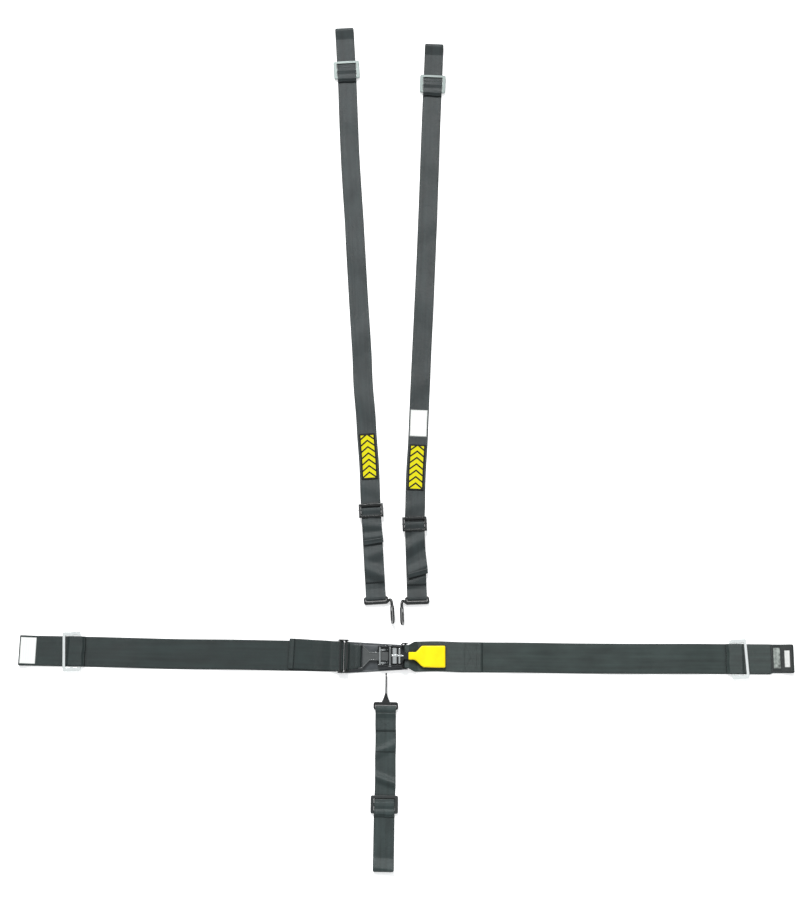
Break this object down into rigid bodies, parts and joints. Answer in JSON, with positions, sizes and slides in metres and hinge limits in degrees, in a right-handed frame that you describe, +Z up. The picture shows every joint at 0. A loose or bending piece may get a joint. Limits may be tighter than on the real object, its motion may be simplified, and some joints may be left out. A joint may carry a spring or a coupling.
{
  "type": "racing harness",
  "caption": "Latch-and-link racing harness laid out flat: lap belt with lever buckle, two shoulder straps with lift adjusters, and a crotch strap, each with a slide and anchor loop.",
  "frame": {"origin": "underside of the buckle pad, below the lever's pivot end of the latch, on the surface the harness lies on", "axes": "+Z up from the surface; +Y towards the shoulder straps' anchor ends; +X along the latch half of the lap belt towards its anchor end"},
  "size_m": [1.9628, 2.2664, 0.0253],
  "materials": {
    "webbing_black": "woven polyester harness webbing",
    "slide_silver": "bright zinc plate",
    "slide_black": "black coated, worn at the edges",
    "hardware_black": "glossy black coating, worn at the edges",
    "buckle_steel": "glossy black plated steel",
    "bright_steel": "bright plated steel",
    "grip_yellow": "smooth moulded plastic sleeve",
    "pad_black": "smooth pad with stitched rim",
    "patch_fabric": "woven label, black with a yellow field",
    "label_white": "satin label",
    "label_grey": "thin worn label"
  },
  "bodies": {
    "lap_right": {"lap_webbing_right": "webbing_black", "lap_end_patch": "patch_fabric", "lap_end_tag_wide": "label_grey", "lap_end_tag_narrow": "label_white", "latch_frame": "buckle_steel", "latch_front_bar": "buckle_steel", "latch_webbing_bar": "buckle_steel", "lever_pivot_pin": "bright_steel", "lever_detent_spring": "bright_steel", "latch_rivets": "bright_steel", "buckle_pad": "pad_black"},
    "lever": {"lever_plate": "buckle_steel", "lever_hook": "bright_steel", "lever_grip": "grip_yellow"},
    "link": {"link_plate": "buckle_steel", "link_webbing_loop": "webbing_black", "lap_adjuster_frame": "hardware_black", "lap_adjuster_bar": "hardware_black", "lap_tail": "webbing_black"},
    "lap_left": {"lap_webbing_left": "webbing_black", "lap_label_left": "label_white"},
    "lap_left_slide": {"lap_left_slide_frame": "slide_silver", "lap_left_slide_webbing": "webbing_black"},
    "lap_right_slide": {"lap_right_slide_frame": "slide_silver", "lap_right_slide_webbing": "webbing_black"},
    "shoulder_left": {"shoulder_left_webbing": "webbing_black", "shoulder_left_patch": "patch_fabric"},
    "shoulder_left_slide": {"shoulder_left_slide_frame": "slide_silver", "shoulder_left_slide_webbing": "webbing_black"},
    "shoulder_left_adjuster": {"shoulder_left_adjuster_frame": "hardware_black", "shoulder_left_adjuster_bar": "hardware_black", "shoulder_left_connector": "webbing_black", "shoulder_left_tail": "webbing_black"},
    "shoulder_left_eye": {"shoulder_left_fitting": "hardware_black"},
    "shoulder_right": {"shoulder_right_webbing": "webbing_black", "shoulder_right_patch": "patch_fabric", "shoulder_right_label": "label_white"},
    "shoulder_right_slide": {"shoulder_right_slide_frame": "slide_silver", "shoulder_right_slide_webbing": "webbing_black"},
    "shoulder_right_adjuster": {"shoulder_right_adjuster_frame": "hardware_black", "shoulder_right_adjuster_bar": "hardware_black", "shoulder_right_connector": "webbing_black", "shoulder_right_tail": "webbing_black"},
    "shoulder_right_eye": {"shoulder_right_fitting": "hardware_black"},
    "crotch": {"crotch_webbing": "webbing_black"},
    "crotch_slide": {"crotch_slide_frame": "slide_black", "crotch_slide_webbing": "webbing_black"},
    "crotch_eye": {"crotch_fitting": "hardware_black"}
  },
  "joints": [
    {"name": "lever_open", "type": "hinge", "parent": "lap_right", "child": "lever", "pos_m": [-0.005, 0.001, 0.016], "axis": [0, -1, 0], "range_deg": [0, 120]},
    {"name": "link_release", "type": "slide", "parent": "lap_right", "child": "link", "axis": [-1, 0, 0], "range_m": [0, 0.07]},
    {"name": "lap_adjust", "type": "slide", "parent": "link", "child": "lap_left", "axis": [-0.9998, 0.0192, 0], "range_m": [-0.01, 0.1]},
    {"name": "lap_left_slide_travel", "type": "slide", "parent": "lap_left", "child": "lap_left_slide", "axis": [-0.9998, 0.0192, 0], "range_m": [-0.025, 0.055]},
    {"name": "lap_right_slide_travel", "type": "slide", "parent": "lap_right", "child": "lap_right_slide", "axis": [1, -0.007, 0], "range_m": [-0.03, 0.045]},
    {"name": "shoulder_left_place", "type": "slide", "parent": "lap_right", "child": "shoulder_left", "axis": [-0.0593, 0.9982, 0], "range_m": [-0.03, 0.15]},
    {"name": "shoulder_left_slide_travel", "type": "slide", "parent": "shoulder_left", "child": "shoulder_left_slide", "axis": [-0.0593, 0.9982, 0], "range_m": [-0.025, 0.055]},
    {"name": "shoulder_left_adjust", "type": "slide", "parent": "shoulder_left", "child": "shoulder_left_adjuster", "axis": [-0.0593, 0.9982, 0], "range_m": [-0.012, 0.007]},
    {"name": "shoulder_left_eye_swing", "type": "hinge", "parent": "shoulder_left_adjuster", "child": "shoulder_left_eye", "pos_m": [-0.0415, 0.15, 0.0048], "axis": [-0.9982, -0.0593, 0], "range_deg": [0, 110]},
    {"name": "shoulder_right_place", "type": "slide", "parent": "lap_right", "child": "shoulder_right", "axis": [0, 1, 0], "range_m": [-0.03, 0.15]},
    {"name": "shoulder_right_slide_travel", "type": "slide", "parent": "shoulder_right", "child": "shoulder_right_slide", "axis": [0.0419, 0.9991, 0], "range_m": [-0.025, 0.05]},
    {"name": "shoulder_right_adjust", "type": "slide", "parent": "shoulder_right", "child": "shoulder_right_adjuster", "axis": [0.0419, 0.9991, 0], "range_m": [-0.012, 0.007]},
    {"name": "shoulder_right_eye_swing", "type": "hinge", "parent": "shoulder_right_adjuster", "child": "shoulder_right_eye", "pos_m": [0.0636, 0.15, 0.0048], "axis": [-0.9995, -0.0325, 0], "range_deg": [0, 110]},
    {"name": "crotch_place", "type": "slide", "parent": "lap_right", "child": "crotch", "axis": [-0.0131, -0.9999, 0], "range_m": [0, 0.15]},
    {"name": "crotch_slide_travel", "type": "slide", "parent": "crotch", "child": "crotch_slide", "axis": [-0.0131, -0.9999, 0], "range_m": [-0.018, 0.06]},
    {"name": "crotch_eye_swing", "type": "hinge", "parent": "crotch", "child": "crotch_eye", "pos_m": [-0.0154, -0.13, 0.0048], "axis": [0.9999, -0.0131, 0], "range_deg": [0, 110]}
  ],
  "couplings": [
    {"joint": "link_release", "follows": "lever_open", "m_per_rad": 0.0334}
  ]
}
